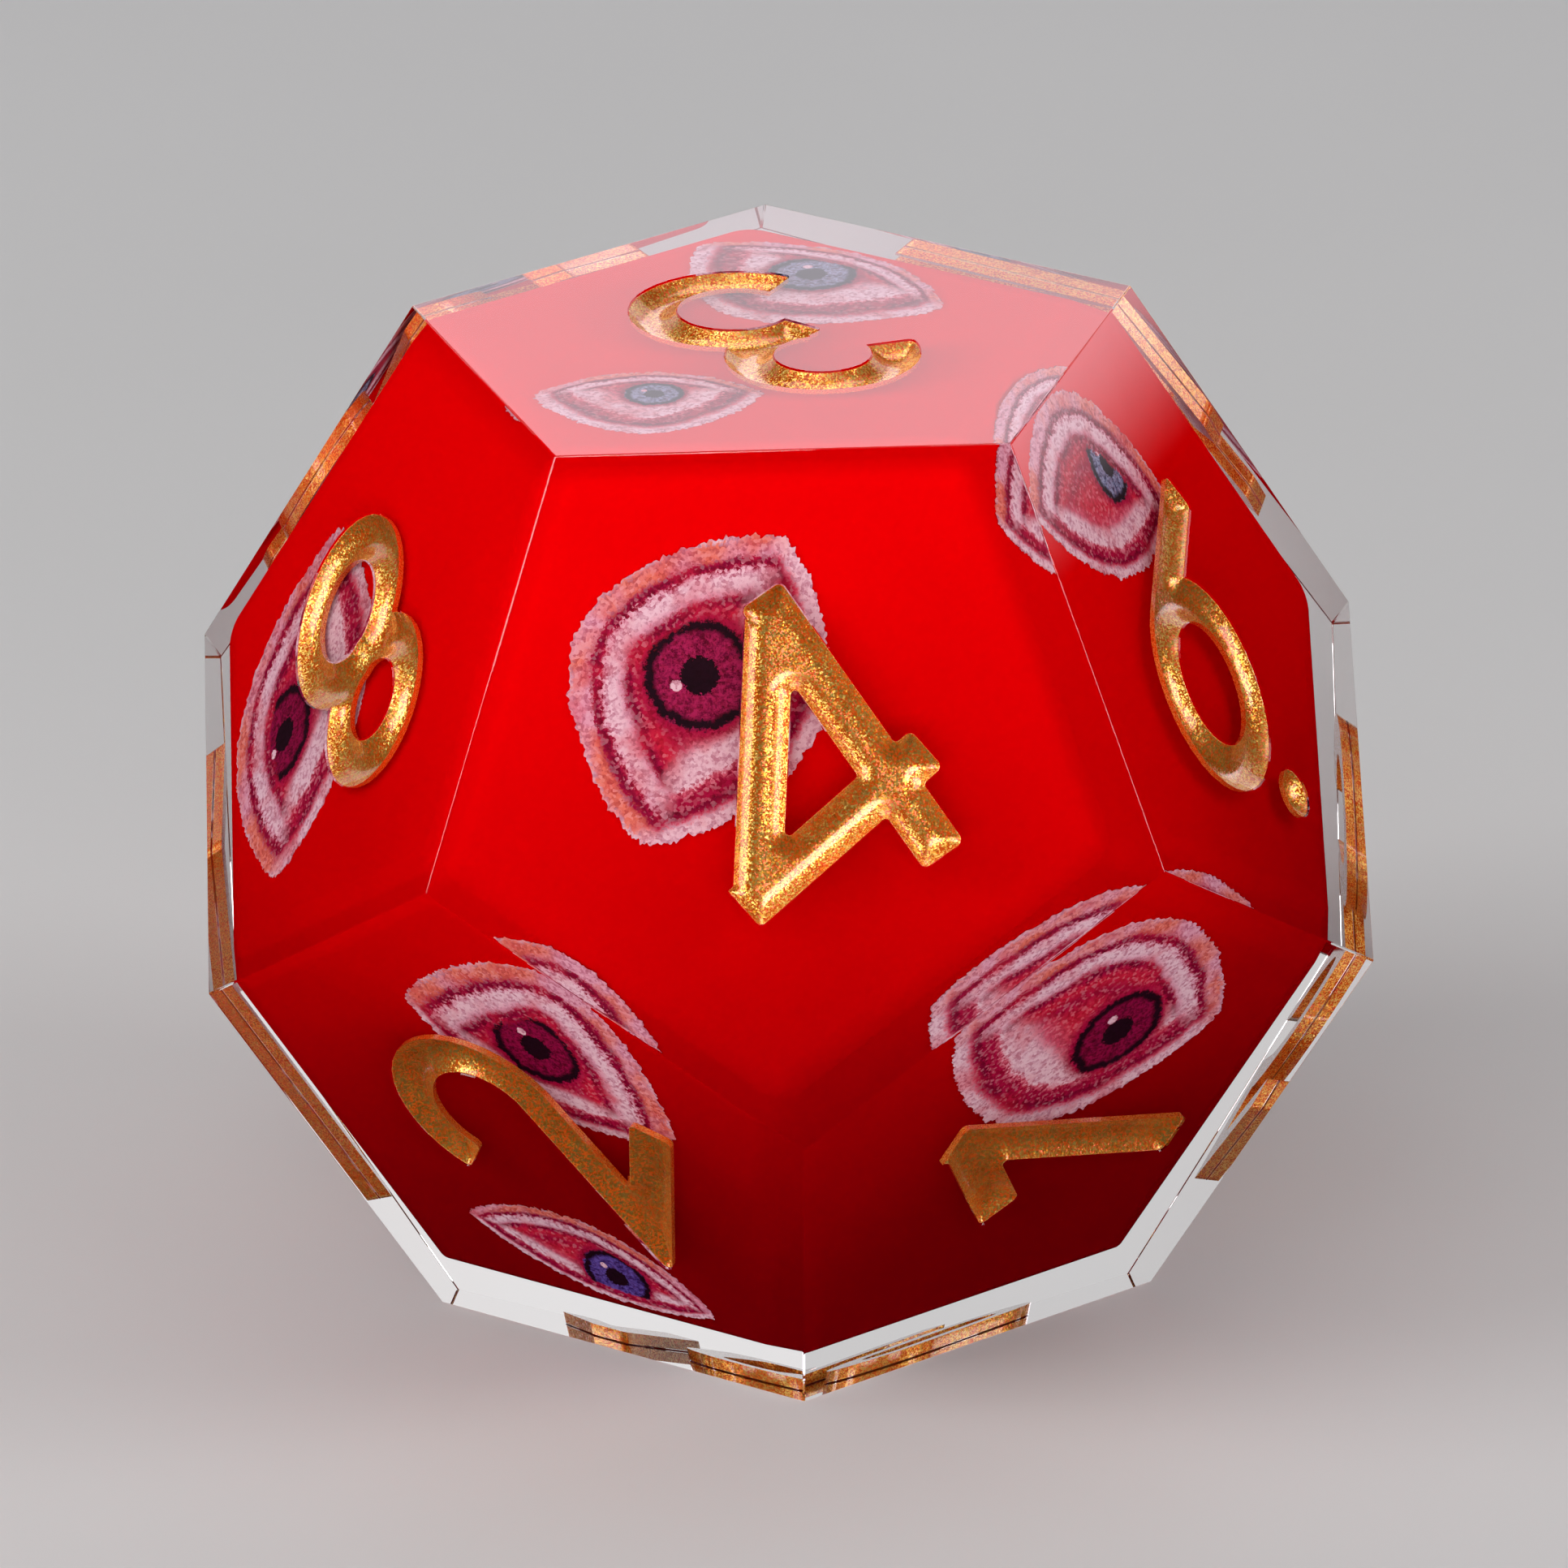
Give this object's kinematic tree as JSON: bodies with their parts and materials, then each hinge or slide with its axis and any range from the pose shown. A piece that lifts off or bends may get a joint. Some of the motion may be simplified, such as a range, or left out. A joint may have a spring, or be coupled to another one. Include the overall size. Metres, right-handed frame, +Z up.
{
  "type": "polyhedral die",
  "caption": "Sharp-edged dodecahedral die: an opaque red core with printed eye-pattern films cast inside clear resin, with engraved numerals filled with gold ink.",
  "frame": {"origin": "centre of the resting face, numeral 10, which is the centre of the bounding box's underside", "axes": "+Z up from the resting face to numeral 3; -Y is the way the face with numeral 4 looks; +X is to the right of numeral 4, towards numerals 6 and 5"},
  "size_m": [0.0236, 0.0248, 0.02],
  "materials": {
    "clear_resin": "polished clear resin",
    "red_resin": "opaque saturated red resin, satin",
    "printed_film": "printed film, pink, crimson and near black",
    "gold_ink": "gold glitter ink"
  },
  "bodies": {
    "root": {"clear_base_layer": "clear_resin", "clear_body": "clear_resin", "red_core": "red_resin", "eye_print_3_far": "printed_film", "eye_print_3_near": "printed_film", "eye_print_4": "printed_film", "eye_print_6": "printed_film", "eye_print_8": "printed_film", "eye_print_2_high": "printed_film", "eye_print_2_low": "printed_film", "eye_print_1": "printed_film", "eye_print_5": "printed_film", "eye_print_7_high": "printed_film", "eye_print_7_low": "printed_film", "eye_print_9": "printed_film", "eye_print_10": "printed_film", "eye_print_11_high": "printed_film", "eye_print_11_low": "printed_film", "eye_print_12": "printed_film", "ink_1": "gold_ink", "ink_2": "gold_ink", "ink_3": "gold_ink", "ink_4": "gold_ink", "ink_5": "gold_ink", "ink_6": "gold_ink", "ink_6_dot": "gold_ink", "ink_7": "gold_ink", "ink_8": "gold_ink", "ink_9": "gold_ink", "ink_9_dot": "gold_ink", "ink_10_one": "gold_ink", "ink_10_zero": "gold_ink", "ink_11_left_one": "gold_ink", "ink_11_right_one": "gold_ink", "ink_12_one": "gold_ink", "ink_12_two": "gold_ink"}
  },
  "joints": []
}
